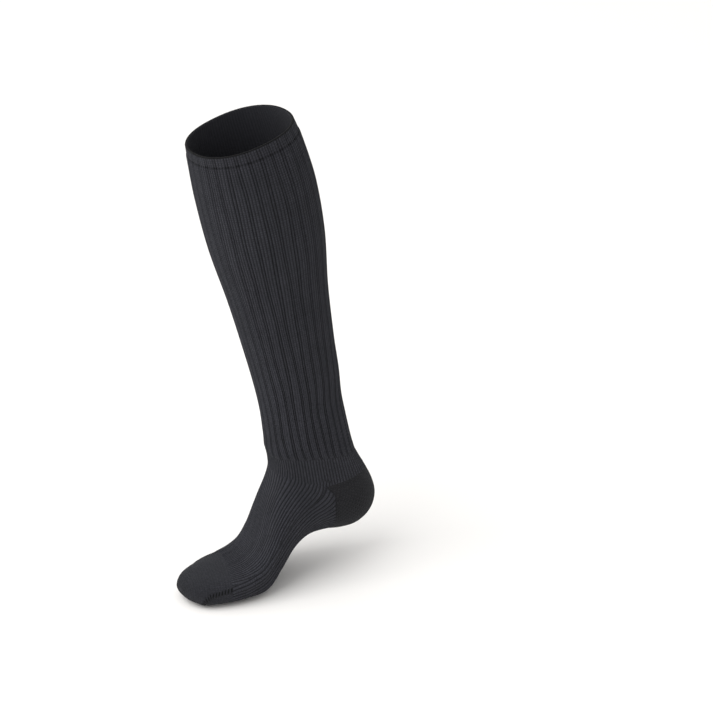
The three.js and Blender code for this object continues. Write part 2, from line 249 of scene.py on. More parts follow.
def areas(distance, share, point, girth):
    """How far inside leg, heel pocket, toe pocket, sole and ankle each point lies."""
    fore, high = point[:, 0], point[:, 2]
    leg = high - on_line(RIB_END, fore)
    behind = on_line(HEEL_EDGE, high) - fore
    heel = np.minimum(behind, on_line(HEEL_TOP, fore) - high)
    toe = np.full(len(fore), TOE_POCKET - distance)
    bend = APEX[1] + (fore - APEX[0]) * (BEND_TOP[1] - APEX[1]) / (BEND_TOP[0] - APEX[0])
    down = (np.minimum(share, 1 - share) - on_line(SOLE_BORDER, distance)) * girth
    sole = np.minimum(np.minimum(down, bend - high), -behind)
    ankle = np.minimum(high - bend, high - on_line(HEEL_TOP, fore))
    return leg, heel, toe, sole, ankle


print("the sole's border runs from", SOLE_BORDER[0, 0], "to", SOLE_BORDER[-1, 0], "mm")

# %% The way round for wales that don't follow the tube
SHIN_HALF_WIDTH, SHIN_HALF_DEPTH = 31, 40      # millimetres, at the ankle
SOLE_FAN = 0.3          # share of a turn from the middle of the sole to its border
SOLE_MARGIN = 6         # the sole's wales are laid out this far past its border


def round_the_shin(point):
    """Share of the way round the shin's line, for the wales that run straight down the ankle."""
    line = SHIN_FORE + (point[:, 2] - SHIN_HIGH) * math.tan(SHIN_LEAN)
    across, ahead = point[:, 1] / SHIN_HALF_WIDTH, (point[:, 0] - line) / SHIN_HALF_DEPTH
    return np.arctan2(across, ahead) / (2 * math.pi)


def fan_of_the_sole(distance, share):
    """Share of the way from side to side of the sole, for wales that run beside its border."""
    border = on_line(SOLE_BORDER, distance)
    from_middle = (0.5 - np.minimum(share, 1 - share)) / (0.5 - border)
    return 0.5 + SOLE_FAN * np.sign(share - 0.5) * from_middle


def second_way(distance, share, point, sole):
    """The share for the second map: the fan on and near the sole, round the shin elsewhere."""
    return np.where(sole > -SOLE_MARGIN, fan_of_the_sole(distance, share), round_the_shin(point))


border_share = fan_of_the_sole(100, on_line(SOLE_BORDER, 100))
print("on its own map the sole's border lies at", border_share.round(2))

# %% [markdown]
# ## The ribs
# A rib of the leg is three wales wide. Between two ribs there is one single wale with a deep
# groove on each side. The ribs could be a bump in the material, but they catch the light along
# the whole leg and show at its outline, so they are real relief. The profile below is one
# period of the knit, from the middle of a rib's first wale to the next rib. It is given twice,
# because the knit opens where the calf stretches it: its narrow grooves get deeper there.

# %% Profile of one period of the rib knit
# share of the period, rise at the calf, rise at the ankle: 1 on a rib, below 0 in a deep groove
RIB_PROFILE = np.array([
    (0.00, 1.00, 1.00), (0.06, 0.88, 0.92), (0.125, 0.35, 0.55), (0.19, 0.88, 0.92),
    (0.25, 1.00, 1.00), (0.31, 0.88, 0.92), (0.375, 0.35, 0.55), (0.44, 0.88, 0.92),
    (0.50, 1.00, 1.00), (0.56, 0.75, 0.80), (0.625, -0.35, -0.30), (0.69, 0.55, 0.38),
    (0.75, 0.85, 0.66), (0.81, 0.55, 0.38), (0.875, -0.35, -0.30), (0.94, 0.75, 0.80),
])
RELAXED, STRETCHED = 270.0, 430.0       # the knit opens between these, from ankle to calf
column_shares = (np.arange(RIBS)[:, None] + RIB_PROFILE[None, :, 0]).ravel() / RIBS
columns = len(column_shares)
print(f"{columns} columns round the tube")


def smooth(value, start, end):
    t = np.clip((value - start) / (end - start), 0, 1)
    return t * t * (3 - 2 * t)


def rib_profile(distance):
    """The rises round one ring; the narrow grooves on a rib open where the knit is stretched."""
    stretch = smooth(distance, RELAXED, STRETCHED)
    one = RIB_PROFILE[:, 2] + (RIB_PROFILE[:, 1] - RIB_PROFILE[:, 2]) * stretch
    return np.tile(one, RIBS)


# %% How the wales stray
# millimetres to the side, millimetres along to a radian, waves round the tube
STRAYS = ((0.32, 23, 11), (0.16, 9.7, -7), (0.30, 41, 17))
STRAY_START, STRAY_FULL = 10, 60        # the toe tip's wales don't stray


def wander(distance):
    """How far the wales stray sideways, in millimetres: a real knit is never quite even."""
    turn = 2 * math.pi * column_shares
    strayed = sum(size * np.sin(distance / length + waves * turn) for size, length, waves in STRAYS)
    return strayed * smooth(distance, STRAY_START, STRAY_FULL)


print("widest stray at the calf:", np.abs(wander(430)).max().round(2), "mm")

# %% Relief of the outside
AREA_EDGE = 0.5                         # half the width in which one relief becomes another
RIB_FADE = (-1.0, 4.0)                  # a rib rises from its end over this stretch
WELT_EDGE = 0.6                         # half the width in which ribs get lower at the welt
WELT_GROOVE, WELT_GROOVE_HALF = 0.45, 0.8       # depth and half width of the groove under it


def fine_wales(values, second):
    """A wave from -1 to 1 over the narrow wales of instep, sole and ankle; 0 in the pockets."""
    _, heel, toe, sole, ankle = values
    wave = np.cos(2 * math.pi * INSTEP_WALES * column_shares)
    for inside_by, wales in ((sole, SOLE_WALES), (ankle, ANKLE_WALES)):
        share = smooth(inside_by, -AREA_EDGE, AREA_EDGE)
        wave += (np.cos(2 * math.pi * wales * second) - wave) * share
    return wave * (1 - smooth(np.maximum(heel, toe), -AREA_EDGE, AREA_EDGE))


def relief(distance, values, second):
    """Height of the knit over its grooves: high ribs on the leg, low ones in welt and foot."""
    over_welt_line = distance - LENGTH + WELT
    in_welt = smooth(over_welt_line, -WELT_EDGE, WELT_EDGE)
    height = RIB_HEIGHT + (WELT_RIB_HEIGHT - RIB_HEIGHT) * in_welt
    groove = WELT_GROOVE * math.exp(-(over_welt_line / WELT_GROOVE_HALF) ** 2)
    ribbed = smooth(values[0], *RIB_FADE)
    foot = FOOT_RISE + FINE_WALE / 2 * fine_wales(values, second)
    return rib_profile(distance) * height * ribbed + foot * (1 - ribbed) - groove


# %% [markdown]
# ## One shell
# A single sheet with a Solidify modifier would be quick, but the inside of a rib knit is
# smoother than its outside. So the rings of vertices go up the outside with the relief, over
# the rounded edge of the cuff, and down the inside without it. The tube stays closed and thin.

# %% Where the rings lie, in millimetres from the toe tip
FOOT_RINGS, LEG_RINGS = 118, 38
INSIDE_LEG_RINGS, INSIDE_FOOT_RINGS = 9, 20
FOOT_TOP = 268.0        # close rings up to here, over the fine wales and the ends of the ribs
tip_rows = [0.0, 1.0, 2.4, 4.2, 6.4, 9.0]
foot_rows = np.linspace(11.0, FOOT_TOP, FOOT_RINGS)
leg_rows = np.linspace(FOOT_TOP + 6.0, LENGTH - WELT - 4.0, LEG_RINGS)
welt_rows = [LENGTH - WELT + shift for shift in (-1.6, -0.8, 0, 0.8, 1.6)]
top_rows = [LENGTH - 6.0, LENGTH - 3.0, LENGTH - 1.0]
outside_rows = np.concatenate([tip_rows, foot_rows, leg_rows, welt_rows, top_rows])
cuff_edge = ((LENGTH - 0.3, 0.25), (LENGTH, -0.4), (LENGTH, -1.4))      # distance and rise
inside_rows = np.concatenate([
    np.linspace(LENGTH - 1.0, FOOT_TOP, INSIDE_LEG_RINGS),
    np.linspace(FOOT_TOP - 12.0, 12.0, INSIDE_FOOT_RINGS), [7.0, 2.8, 0.5],
])
print(f"{len(outside_rows)} rings outside, {len(inside_rows)} inside")

# %% Rings of the outside, the cuff's edge and the inside
# Painted shadow: a dark line under the welt, where its edge shades the knit below.
WELT_SHADOW, WELT_SHADOW_HALF = 0.6, 1.0    # how dark the line under the welt is, its half width
verts, along, area_values, depth, second_shares = [], [], [], [], []


def add_ring(distance, rise, lowest, outer):
    """A ring of vertices this far out of the surface; only an outer one has the relief."""
    _, girth = turns_at(distance, column_shares)
    strayed = column_shares + wander(distance) / girth
    turn, _ = turns_at(distance, np.clip(strayed, 0, 1))
    smooth_point = surface(distance, turn)
    values = areas(distance, strayed, smooth_point, girth)
    second = second_way(distance, strayed, smooth_point, values[3])
    rises = np.full(columns, rise) + (relief(distance, values, second) if outer else 0)
    verts.append(moved_out(distance, turn, rises, lowest) * MM)
    along.append(distance * MM)
    area_values.append(np.stack(values, axis=-1))
    second_shares.append(second)
    # Painted shade for the colour: the lower the rib profile, the darker, plus the painted shadow
    # line under the welt.
    welt_shadow = WELT_SHADOW * math.exp(-((distance - LENGTH + WELT) / WELT_SHADOW_HALF) ** 2)
    groove_shade = np.clip(1 - rib_profile(distance) + welt_shadow, 0, 1)
    depth.append(groove_shade if outer else np.zeros(columns))


for distance in outside_rows:
    add_ring(distance, 0.0, 0.0, True)
for distance, rise in cuff_edge:
    add_ring(distance, rise, 0.0, False)
for distance in inside_rows:
    add_ring(distance, -WALL, WALL, False)
rings = len(verts)
print(f"{rings} rings of {columns} vertices")

# %% The mesh of the tube
points = np.concatenate(verts)
first = np.arange(columns)
following = np.roll(first, -1)
quads = np.concatenate([
    np.stack([first, following, following + columns, first + columns], axis=-1) + i * columns
    for i in range(rings - 1)
])
tip_out = points[:columns].mean(axis=0)
tip_in = points[-columns:].mean(axis=0)
points = np.vstack([points, tip_out, tip_in])
last_ring = (rings - 1) * columns
pairs = [(int(a), int(b)) for a, b in zip(first, following)]
caps = [(len(points) - 2, b, a) for a, b in pairs]
caps += [(len(points) - 1, a + last_ring, b + last_ring) for a, b in pairs]
faces = [tuple(int(k) for k in quad) for quad in quads] + caps


def new_piece(name, vertices, skin):
    """A smooth-shaded object made of these vertices and faces."""
    mesh = bpy.data.meshes.new(name)
    mesh.from_pydata([tuple(vertex) for vertex in vertices], [], skin)
    mesh.polygons.foreach_set("use_smooth", [True] * len(skin))
    piece = bpy.data.objects.new(name, mesh)
    bpy.context.collection.objects.link(piece)
    return piece


stocking = new_piece("stocking", points, faces)
knit_mesh = stocking.data
print(f"{len(points)} vertices, {len(quads) * 2 + len(caps)} triangles")

# %% What each vertex knows about its knit
AREA_NAMES = ("leg", "heel", "toe", "sole", "ankle")
FAR_OUTSIDE = -200          # the toe tip is in no area but the toe pocket
tip_values = (FAR_OUTSIDE, FAR_OUTSIDE, TOE_POCKET, FAR_OUTSIDE, FAR_OUTSIDE)
all_areas = np.vstack([np.concatenate(area_values), tip_values, tip_values])


def keep_values(name, values):
    layer = knit_mesh.attributes.new(name, "FLOAT", "POINT")
    layer.data.foreach_set("value", np.ascontiguousarray(values, dtype=np.float32))


for column, name in enumerate(AREA_NAMES):
    keep_values(name, all_areas[:, column])
# The groove value is painted shade for the colour: full in the deep grooves of the ribs and in the
# painted shadow line under the welt.
keep_values("groove", np.concatenate([*depth, [0.0, 0.0]]))
print("kept on each vertex:", ", ".join(AREA_NAMES), "and groove")

# %% [markdown]
# ## The knit's own coordinates
# A stitch follows the tube, so its place is given by two numbers: the share of the way round,
# and the metres along it. They could be unwrapped by Blender, but the rings already know them.
# The wales of ankle and sole run their own way, so these have a second map.

# %% Two maps: share round, metres along
ring_shares = np.concatenate([column_shares, [1.0]])
corner_uv = []
for i in range(rings - 1):
    block = np.empty((columns, 4, 2))
    block[:, 0, 0] = block[:, 3, 0] = ring_shares[:-1]
    block[:, 1, 0] = block[:, 2, 0] = ring_shares[1:]
    block[:, :2, 1] = along[i]
    block[:, 2:, 1] = along[i + 1]
    corner_uv.append(block.reshape(-1, 2))
corner_uv.append(np.zeros((len(caps) * 3, 2)))
first_uv = np.concatenate(corner_uv).astype(np.float32)

second_uv = first_uv.copy()
second = np.concatenate(second_shares)[quads]
second = second[:, :1] + (second - second[:, :1] + 0.5) % 1.0 - 0.5     # no jump inside a face
second_uv[:quads.size, 0] = second.ravel()
for name, values in (("knit", first_uv), ("ankle and sole knit", second_uv)):
    knit_mesh.uv_layers.new(name=name).data.foreach_set("uv", values.ravel())
print("knit coordinates on", len(first_uv), "corners")

# %% [markdown]
# ## The toe seam
# The toe pocket is closed by linking its two edges, loop by loop. That leaves a fine raised row
# of stitches which starts at the pocket's inner corner and passes under the toes. It could be
# painted, but each stitch stands out a little, so each one is a small flattened bead.

# %% One stitch of the seam
SEAM_STITCH = (0.85, 2.3, 0.5)        # half sizes of a stitch: along, across, up
SEAM_SLANT = 0.45                     # how far a stitch leans along the seam
BEAD_ROUND, BEAD_ALONG = 6, 5         # faces round a bead and along it


def bead():
    """A small closed bead of radius 1."""
    vertices = [(-1.0, 0.0, 0.0)]
    for i in range(1, BEAD_ALONG):
        angle = math.pi * i / BEAD_ALONG
        for k in range(BEAD_ROUND):
            t = 2 * math.pi * k / BEAD_ROUND
            ring_point = (math.sin(angle) * math.cos(t), math.sin(angle) * math.sin(t))
            vertices.append((-math.cos(angle), *ring_point))
    vertices.append((1.0, 0.0, 0.0))
    end = len(vertices) - 1
    skin = []
    for k in range(BEAD_ROUND):
        n = (k + 1) % BEAD_ROUND
        skin.append((0, 1 + n, 1 + k))
        for i in range(BEAD_ALONG - 2):
            a, b = 1 + i * BEAD_ROUND, 1 + (i + 1) * BEAD_ROUND
            skin.append((a + k, a + n, b + n, b + k))
        base = end - BEAD_ROUND
        skin.append((end, base + k, base + n))
    return np.array(vertices), skin


bead_points, bead_faces = bead()
print("a stitch has", len(bead_faces), "faces")

# %% The line of the seam
SEAM_COUNT = 104                      # points on the line, with a stitch between each two
SEAM_RISE = 0.42                      # the line over the smooth cloth
TOE_GIRTH = 190                       # about, to space the stitches evenly
SEAM_WAY = np.array([                 # share round the tube, distance from the toe tip
    (0.190, 51), (0.203, 40), (0.215, 31), (0.25, 25), (0.35, 22), (0.50, 21),
    (0.65, 22), (0.75, 25), (0.785, 31), (0.797, 40), (0.810, 51),
])
corner_way = np.concatenate([[0], np.cumsum(np.hypot(
    np.diff(SEAM_WAY[:, 0]) * TOE_GIRTH, np.diff(SEAM_WAY[:, 1])))])
even_way = np.linspace(0, corner_way[-1], SEAM_COUNT)
seam_share = np.interp(even_way, corner_way, SEAM_WAY[:, 0])
seam_distance = np.interp(even_way, corner_way, SEAM_WAY[:, 1])


def over_cloth(share, distance, rise, lowest):
    turn, _ = turns_at(distance, [share])
    return moved_out(distance, turn, np.array([rise]), lowest)[0]


seam_line = [over_cloth(*place, SEAM_RISE, 0.0) for place in zip(seam_share, seam_distance)]
print(f"the seam is about {corner_way[-1]:.0f} mm long")

# %% A row of linked stitches under the toes
DEEP = -50                            # a lowest level that the floor doesn't limit


def linked_stitch(i):
    """The bead between two points of the line, laid on the cloth and kept over the floor."""
    here, there = seam_line[i], seam_line[i + 1]
    forward = (there - here) / np.linalg.norm(there - here)
    place = (seam_share[i], seam_distance[i])
    outward = over_cloth(*place, 2.0, DEEP) - over_cloth(*place, 0.0, DEEP)
    outward -= forward * outward.dot(forward)
    outward /= np.linalg.norm(outward)
    sideways = np.cross(outward, forward)
    local = bead_points * np.array(SEAM_STITCH)
    leaning = local[:, :1] + SEAM_SLANT * local[:, 1:2]
    flat = (here + there) / 2 + leaning * forward + local[:, 1:2] * sideways
    placed = flat + local[:, 2:] * outward
    placed[:, 2] = np.maximum(placed[:, 2], -CUFF_HIGH)
    return placed * MM


STITCHES = SEAM_COUNT - 1
seam_points = np.concatenate([linked_stitch(i) for i in range(STITCHES)])
seam_faces = [tuple(i * len(bead_points) + k for k in face)
              for i in range(STITCHES) for face in bead_faces]
toe_seam = new_piece("toe_seam", seam_points, seam_faces)
seam_mesh = toe_seam.data
print(f"{STITCHES} linked stitches")

# %% [markdown]
# ## The yarn
# The yarn is a dark grey heather: fibres of slightly different greys, dull, with a faint nap.
# Two shader node groups are shared by the finishes. One mottles the yarn's colour and darkens it by
# painted shade. The other draws stitches: columns of small V shapes from the knit's own coordinates,
# with painted shade in the gaps between them.

# %% Helpers for node trees
def add_node(tree, kind, **settings):
    node = tree.nodes.new(kind)
    for name, value in settings.items():
        setattr(node, name, value)
    return node


def feed(tree, socket, value):
    """Give an input a plain number, or link it to another node's output."""
    if isinstance(value, (int, float)):
        socket.default_value = value
    else:
        tree.links.new(value, socket)


def math_node(tree, operation, *values):
    """A Math node whose inputs are sockets or plain numbers; returns its output."""
    node = add_node(tree, "ShaderNodeMath", operation=operation)
    for socket, value in zip(node.inputs, values):
        feed(tree, socket, value)
    return node.outputs[0]


def new_group(name, inputs, outputs):
    """An empty shader node group with named sockets; returns it with its two end nodes."""
    group = bpy.data.node_groups.new(name, "ShaderNodeTree")
    for label, kind, value in inputs:
        group.interface.new_socket(label, in_out="INPUT", socket_type=kind).default_value = value
    for label, kind in outputs:
        group.interface.new_socket(label, in_out="OUTPUT", socket_type=kind)
    return group, group.nodes.new("NodeGroupInput"), group.nodes.new("NodeGroupOutput")


# %% Group: heather yarn
FIBRES = (520, 3, 1.5)      # noise over single fibres: scale, detail, part in the mottle
CLOUDS = (45, 2, 0.5)       # the same for lighter and darker patches
heather, heather_in, heather_out = new_group(
    "Heather yarn",
    [("Yarn", "NodeSocketColor", (0.05, 0.052, 0.058, 1)), ("Mottle", "NodeSocketFloat", 0.2),
     ("Low part", "NodeSocketFloat", 0.0), ("Shade", "NodeSocketFloat", 0.5)],
    [("Colour", "NodeSocketColor")],
)
where = add_node(heather, "ShaderNodeTexCoord")


def yarn_noise(scale, detail, part):
    noise = add_node(heather, "ShaderNodeTexNoise")
    noise.inputs["Scale"].default_value = scale
    noise.inputs["Detail"].default_value = detail
    heather.links.new(where.outputs["Object"], noise.inputs["Vector"])
    return math_node(heather, "MULTIPLY", noise.outputs[0], part)


mixed = math_node(heather, "ADD", yarn_noise(*FIBRES), yarn_noise(*CLOUDS))
around_one = math_node(heather, "MULTIPLY_ADD", math_node(heather, "SUBTRACT", mixed, 1.0),
                       heather_in.outputs["Mottle"], 1.0)
shade = math_node(heather, "SUBTRACT", 1.0, math_node(
    heather, "MULTIPLY", heather_in.outputs["Low part"], heather_in.outputs["Shade"]))
scaled = add_node(heather, "ShaderNodeVectorMath", operation="SCALE")
heather.links.new(heather_in.outputs["Yarn"], scaled.inputs[0])
heather.links.new(math_node(heather, "MULTIPLY", around_one, shade), scaled.inputs["Scale"])
heather.links.new(scaled.outputs[0], heather_out.inputs["Colour"])
print("group:", heather.name)

# %% Group: stitches in wales, with painted shade in their gaps
LOOP_SLANT = 0.6            # how far the arms of a V lean, in courses
CROWN_POWER = 2.2           # a larger one makes a flatter wale
LOOP_GAP_SHADE = 0.75             # how dark the gap between two loops is beside that of two wales
stitches, stitches_in, stitches_out = new_group(
    "Stitches",
    [("Round", "NodeSocketFloat", 0.0), ("Along", "NodeSocketFloat", 0.0),
     ("Wales", "NodeSocketFloat", 60.0), ("Course", "NodeSocketFloat", 0.0015),
     ("Stitch depth", "NodeSocketFloat", 0.3)],
    [("Height", "NodeSocketFloat"), ("Gap shade", "NodeSocketFloat")],
)
knit_values = stitches_in.outputs
wale = math_node(stitches, "MULTIPLY_ADD", knit_values["Round"], knit_values["Wales"], 0.5)
across_wale = math_node(stitches, "ABSOLUTE", math_node(
    stitches, "MULTIPLY_ADD", math_node(stitches, "FRACT", wale), 2.0, -1.0))
course = math_node(stitches, "DIVIDE", knit_values["Along"], knit_values["Course"])
slanted = math_node(stitches, "MULTIPLY_ADD", across_wale, LOOP_SLANT, course)
loop = math_node(stitches, "MULTIPLY_ADD", math_node(
    stitches, "SINE", math_node(stitches, "MULTIPLY", slanted, 2 * math.pi)), 0.5, 0.5)
crown = math_node(stitches, "SUBTRACT", 1.0, math_node(
    stitches, "POWER", across_wale, CROWN_POWER))
sunk = math_node(stitches, "MULTIPLY", math_node(stitches, "SUBTRACT", 1.0, loop),
                 knit_values["Stitch depth"])
loops = math_node(stitches, "SUBTRACT", 1.0, sunk)
# Painted shade: the gaps between wales and between loops darken the colour.
wale_gap_shade = math_node(stitches, "POWER", across_wale, 2.0)
loop_gap_shade = math_node(stitches, "MULTIPLY", math_node(
    stitches, "SUBTRACT", 1.0, loops), LOOP_GAP_SHADE)
stitches.links.new(math_node(stitches, "MULTIPLY", crown, loops), stitches_out.inputs["Height"])
stitches.links.new(math_node(stitches, "MAXIMUM", wale_gap_shade, loop_gap_shade),
                   stitches_out.inputs["Gap shade"])
print("group:", stitches.name)

# %% [markdown]
# ## The outside of the knit
# One material covers the whole outside, because it is all one yarn. It asks each point which
# area it lies in and mixes the stitches of leg, foot, sole and pocket by that. The wales are
# in the mesh; bump adds the single loops, which are too fine for it.

# %% Helpers that read a point's area and its place in the knit
AREA_BORDER = 0.4           # half the width of a border, in millimetres


def map_smoothly(tree, value, start, end, low=0.0, high=1.0):
    """A value that eases from low to high while another goes from start to end."""
    node = add_node(tree, "ShaderNodeMapRange", interpolation_type="SMOOTHSTEP")
    tree.links.new(value, node.inputs["Value"])
    for label, number in (("From Min", start), ("From Max", end), ("To Min", low), ("To Max", high)):
        node.inputs[label].default_value = number
    return node.outputs["Result"]


def attribute(tree, name):
    return add_node(tree, "ShaderNodeAttribute", attribute_name=name).outputs["Fac"]


def inside_area(tree, name):
    """1 inside the area, 0 outside it."""
    return map_smoothly(tree, attribute(tree, name), -AREA_BORDER, AREA_BORDER)


def mix_values(tree, share, low, high):
    node = add_node(tree, "ShaderNodeMix", data_type="FLOAT")
    tree.links.new(share, node.inputs["Factor"])
    feed(tree, node.inputs["A"], low)
    feed(tree, node.inputs["B"], high)
    return node.outputs["Result"]


def knit_place(tree, uv_map):
    """The two knit coordinates of a UV map: share round, metres along."""
    source = add_node(tree, "ShaderNodeUVMap", uv_map=uv_map)
    split = add_node(tree, "ShaderNodeSeparateXYZ")
    tree.links.new(source.outputs["UV"], split.inputs[0])
    return split.outputs["X"], split.outputs["Y"]


def stitch_field(tree, place, wales, course, stitch_depth):
    """Stitches with so many wales round and courses this many metres high: height, and painted shade
    in the gaps.
    """
    node = add_node(tree, "ShaderNodeGroup", node_tree=stitches)
    for label, value in zip(("Round", "Along", "Wales", "Course", "Stitch depth"),
                            (*place, wales, course, stitch_depth)):
        feed(tree, node.inputs[label], value)
    return node.outputs["Height"], node.outputs["Gap shade"]


# %% Helpers for a dull cloth with raised stitches
def knit_material(name, roughness, sheen):
    """A dull cloth material; returns it with its node tree and its shader."""
    material = bpy.data.materials.new(name)
    material.use_nodes = True
    shader = material.node_tree.nodes["Principled BSDF"]
    shader.inputs["Roughness"].default_value = roughness
    shader.inputs["Specular IOR Level"].default_value = 0.12
    shader.inputs["Sheen Weight"].default_value = sheen
    return material, material.node_tree, shader


def raise_stitches(tree, shader, height, distance):
    bump = add_node(tree, "ShaderNodeBump")
    bump.inputs["Strength"].default_value = 1.0
    bump.inputs["Distance"].default_value = distance
    tree.links.new(height, bump.inputs["Height"])
    tree.links.new(bump.outputs["Normal"], shader.inputs["Normal"])


# %% Outside of the knit: the stitches of each area
COURSE = 0.0022             # height of a row of stitches, in metres
POCKET_COURSE, POCKET_WALES = 0.0026, 84
LEG_LOOPS, FOOT_LOOPS, POCKET_LOOPS = 0.8, 0.45, 1.0        # how deep between two loops
LOOP_HEIGHT = 0.0008        # in metres, on the foot
SOFTER = 0.6                # the same on leg and pockets, as a share of it
outside, tree, shader = knit_material("outside of the knit", 0.92, 0.04)
shader.inputs["Sheen Roughness"].default_value = 0.6
shader.inputs["Sheen Tint"].default_value = (0.75, 0.8, 0.85, 1)
tube_place = knit_place(tree, "knit")
second_place = knit_place(tree, "ankle and sole knit")
leg_height, leg_gap_shade = stitch_field(tree, tube_place, LEG_WALES, COURSE, LEG_LOOPS)
foot_height, foot_gap_shade = stitch_field(tree, tube_place, INSTEP_WALES, COURSE, FOOT_LOOPS)
sole_height, sole_gap_shade = stitch_field(tree, second_place, SOLE_WALES, COURSE, FOOT_LOOPS)
ankle_height, ankle_gap_shade = stitch_field(tree, second_place, ANKLE_WALES, COURSE, FOOT_LOOPS)
pocket_height, pocket_gap_shade = stitch_field(
    tree, tube_place, POCKET_WALES, POCKET_COURSE, POCKET_LOOPS)
in_leg, in_heel, in_toe, in_sole, in_ankle = (inside_area(tree, name) for name in AREA_NAMES)
in_pocket = math_node(tree, "MAXIMUM", in_heel, in_toe)
height = mix_values(tree, in_sole, foot_height, sole_height)
height = mix_values(tree, in_ankle, height, ankle_height)
height = mix_values(tree, in_pocket, height, math_node(tree, "MULTIPLY", pocket_height, SOFTER))
height = mix_values(tree, in_leg, height, math_node(tree, "MULTIPLY", leg_height, SOFTER))
raise_stitches(tree, shader, height, LOOP_HEIGHT)
print("material:", outside.name)

# %% Outside of the knit: painted shade in the low parts, which are dark
WALE_SHADE = (0.6, 0.9)             # between the wales of the leg, relaxed and stretched
POCKET_SHADE = 0.5                  # the same in the pockets
GROOVE_POWER = 1.1                  # a larger one keeps the dark nearer to a groove's bottom
GORE_LINE = (1.3, 0.4)              # the dark line at the sole's border: its edge and its core
GORE_START, GORE_FULL, GORE_SHADE = 0.115, 0.175, 0.65      # it shows only near the heel
# Painted shade in the gaps between the wales and loops of foot, sole, ankle and pockets.
between = mix_values(tree, in_sole, foot_gap_shade, sole_gap_shade)
between = mix_values(tree, in_ankle, between, ankle_gap_shade)
between = mix_values(
    tree, in_pocket, between, math_node(tree, "MULTIPLY", pocket_gap_shade, POCKET_SHADE))
# The leg's painted shade: between its wales, stronger where the knit is stretched, and in the
# grooves of its ribs.
stretch = map_smoothly(tree, tube_place[1], RELAXED * MM, STRETCHED * MM, *WALE_SHADE)
leg_low = math_node(tree, "MAXIMUM", math_node(tree, "MULTIPLY", leg_gap_shade, stretch),
                    math_node(tree, "POWER", attribute(tree, "groove"), GROOVE_POWER))
low_part = mix_values(tree, in_leg, between, leg_low)
gore = map_smoothly(tree, math_node(tree, "ABSOLUTE", attribute(tree, "sole")), *GORE_LINE)
near_heel = map_smoothly(tree, tube_place[1], GORE_START, GORE_FULL)
low_part = math_node(tree, "MAXIMUM", low_part, math_node(
    tree, "MULTIPLY", gore, math_node(tree, "MULTIPLY", near_heel, GORE_SHADE)))
print("the gore line starts", GORE_START, "m from the toe tip")

# %% Outside of the knit: the colour
YARN = (0.0325, 0.0328, 0.0400, 1)
MOTTLE, SHADE = 0.8, 0.95
# The heel is darkened with painted shade for the side of the foot that faces away from the lamp; the
# toe pocket is simply made darker.
HEEL_PAINTED_SHADE, TOE_TONE = (0.48, 0.47, 0.44, 1), (0.74, 0.74, 0.74, 1)


def heather_colour(tree, colour, low_part, **settings):
    """The mottled yarn, darkened by painted shade in its low parts, and on the outside by the gore
    line too.
    """
    node = add_node(tree, "ShaderNodeGroup", node_tree=heather)
    node.inputs["Yarn"].default_value = colour
    for label, value in settings.items():
        node.inputs[label].default_value = value
    tree.links.new(low_part, node.inputs["Low part"])
    return node.outputs["Colour"]


colour = heather_colour(tree, YARN, low_part, Mottle=MOTTLE, Shade=SHADE)
# Multiply the heel by its painted shade and the toe pocket by its darker tone.
for share, shade_and_tone in ((in_heel, HEEL_PAINTED_SHADE), (in_toe, TOE_TONE)):
    darkened_pocket = add_node(tree, "ShaderNodeMix", data_type="RGBA", blend_type="MULTIPLY")
    tree.links.new(share, darkened_pocket.inputs["Factor"])
    tree.links.new(colour, darkened_pocket.inputs["A"])
    darkened_pocket.inputs["B"].default_value = shade_and_tone
    colour = darkened_pocket.outputs["Result"]
tree.links.new(colour, shader.inputs["Base Color"])
print("yarn:", YARN[:3])

# %% [markdown]
# ## The inside, the edge and the seam thread
# The inside shows the backs of the stitches, so it is plainer and lower in relief. The cuff's turned
# edge is painted nearly black: a painted shadow where the fold turns in. The seam looks hatched in
# the photograph, so its stitches take turns: one in this painted shadow colour, as the shade between
# the stitches, one as grey as the inside.

# %% Materials: inside of the knit, and the painted shadow of edge and seam
BACK_COURSE = 0.0015        # height of a row of stitches, in metres
BACK_LOOPS, BACK_LOOP_HEIGHT = 0.6, 0.0004
BACK_YARN, BACK_SHADE = (0.022, 0.0225, 0.027, 1), 0.4
# Painted shadow: a nearly black colour for the cuff's edge, where the fold turns in, and for every
# second stitch of the toe seam, as the shade between its stitches.
PAINTED_SHADOW_COLOUR, SHADOW_GAP_SHADE, SHADOW_WALES = (0.004, 0.004, 0.0045, 1), 0.2, 240


def plain_knit(name, colour, shade_value, wales):
    material, own_tree, own_shader = knit_material(name, 0.95, 0.03)
    back_height, back_gap_shade = stitch_field(
        own_tree, knit_place(own_tree, "knit"), wales, BACK_COURSE, BACK_LOOPS)
    shade_and_tone = heather_colour(own_tree, colour, back_gap_shade, Shade=shade_value)
    own_tree.links.new(shade_and_tone, own_shader.inputs["Base Color"])
    raise_stitches(own_tree, own_shader, back_height, BACK_LOOP_HEIGHT)
    return material


inside = plain_knit("inside of the knit", BACK_YARN, BACK_SHADE, LEG_WALES)
painted_shadow_material = plain_knit("painted shadow of edge and seam", PAINTED_SHADOW_COLOUR, SHADOW_GAP_SHADE, SHADOW_WALES)
for material in (outside, inside, painted_shadow_material):
    knit_mesh.materials.append(material)
for material in (painted_shadow_material, inside):
    seam_mesh.materials.append(material)
print("materials on the knit:", ", ".join(material.name for material in knit_mesh.materials))

# %% Which faces have which material
INSIDE_SLOT, SHADOW_SLOT = 1, 2
face_material = np.zeros(len(faces), dtype=np.int32)
edge_first = (len(outside_rows) - 1) * columns
edge_last = edge_first + len(cuff_edge) * columns
# The cuff's edge gets the painted shadow.
face_material[edge_first:edge_last] = SHADOW_SLOT
face_material[edge_last:len(quads)] = INSIDE_SLOT
face_material[len(quads) + columns:] = INSIDE_SLOT
knit_mesh.polygons.foreach_set("material_index", face_material)
knit_mesh.update()
